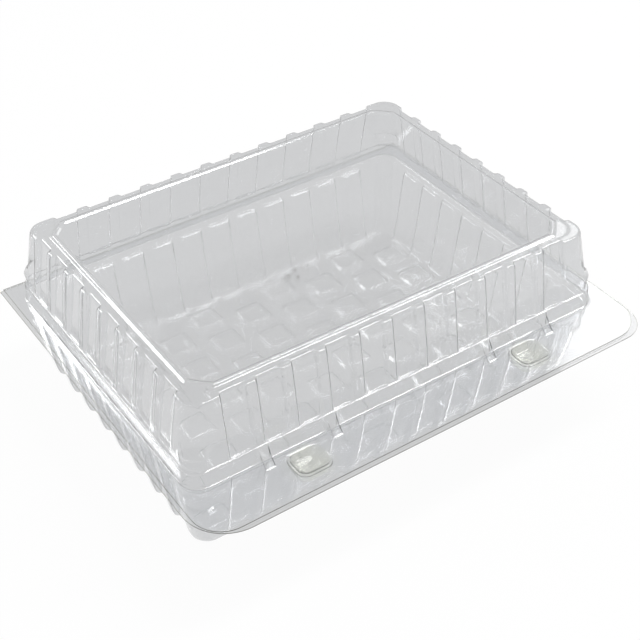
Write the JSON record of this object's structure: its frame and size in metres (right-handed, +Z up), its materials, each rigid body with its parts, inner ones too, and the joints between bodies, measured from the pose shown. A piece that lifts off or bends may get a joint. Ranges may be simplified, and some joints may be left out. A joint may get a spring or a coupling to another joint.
{
  "type": "clamshell_pack",
  "caption": "Clear plastic clamshell pack with fluted walls, a raised frame on the lid, snap cups in the front flange and a hinged lid",
  "frame": {"origin": "middle of the bounding box on the table plane, under the closed pack", "axes": "+X along the hinge, -Y towards the snap side, +Z up out of the tray"},
  "size_m": [0.2766, 0.2292, 0.0976],
  "materials": {
    "clear_sheet": "clear thin sheet, glossy, with a faint yellow-green tint where it is seen edge on"
  },
  "bodies": {
    "tray": {"tray": "clear_sheet"},
    "lid": {"lid": "clear_sheet"}
  },
  "joints": [
    {"name": "lid_hinge", "type": "hinge", "parent": "tray", "child": "lid", "pos_m": [0, 0.11475, 0.0515], "axis": [-1, 0, 0], "range_deg": [0, 180]}
  ]
}
